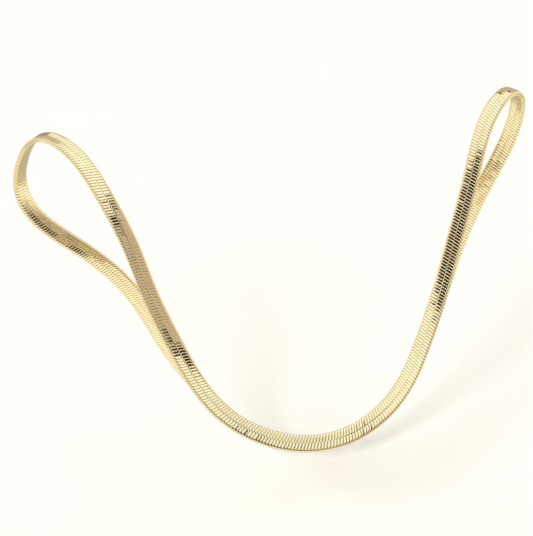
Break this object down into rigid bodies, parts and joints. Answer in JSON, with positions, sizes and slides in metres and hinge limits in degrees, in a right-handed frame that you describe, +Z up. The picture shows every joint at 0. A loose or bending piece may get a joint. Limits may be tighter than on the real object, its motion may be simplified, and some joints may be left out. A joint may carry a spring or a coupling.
{
  "type": "herringbone chain necklace",
  "caption": "Flat herringbone chain necklace held in a draped loop, with two end caps, two jump rings and a lobster clasp.",
  "frame": {"origin": "underside of the band at the top left, where the loop hangs", "axes": "+Z up, +Y to the back of the loop, +X to the right seen from the front"},
  "size_m": [0.1209, 0.0699, 0.1023],
  "materials": {
    "pressed_links": "polished",
    "fittings": "polished"
  },
  "bodies": {
    "root": {"strand": "pressed_links", "end_cap_left": "fittings", "end_cap_right": "fittings", "jump_ring_left": "fittings", "jump_ring_right": "fittings", "clasp": "fittings"}
  },
  "joints": []
}
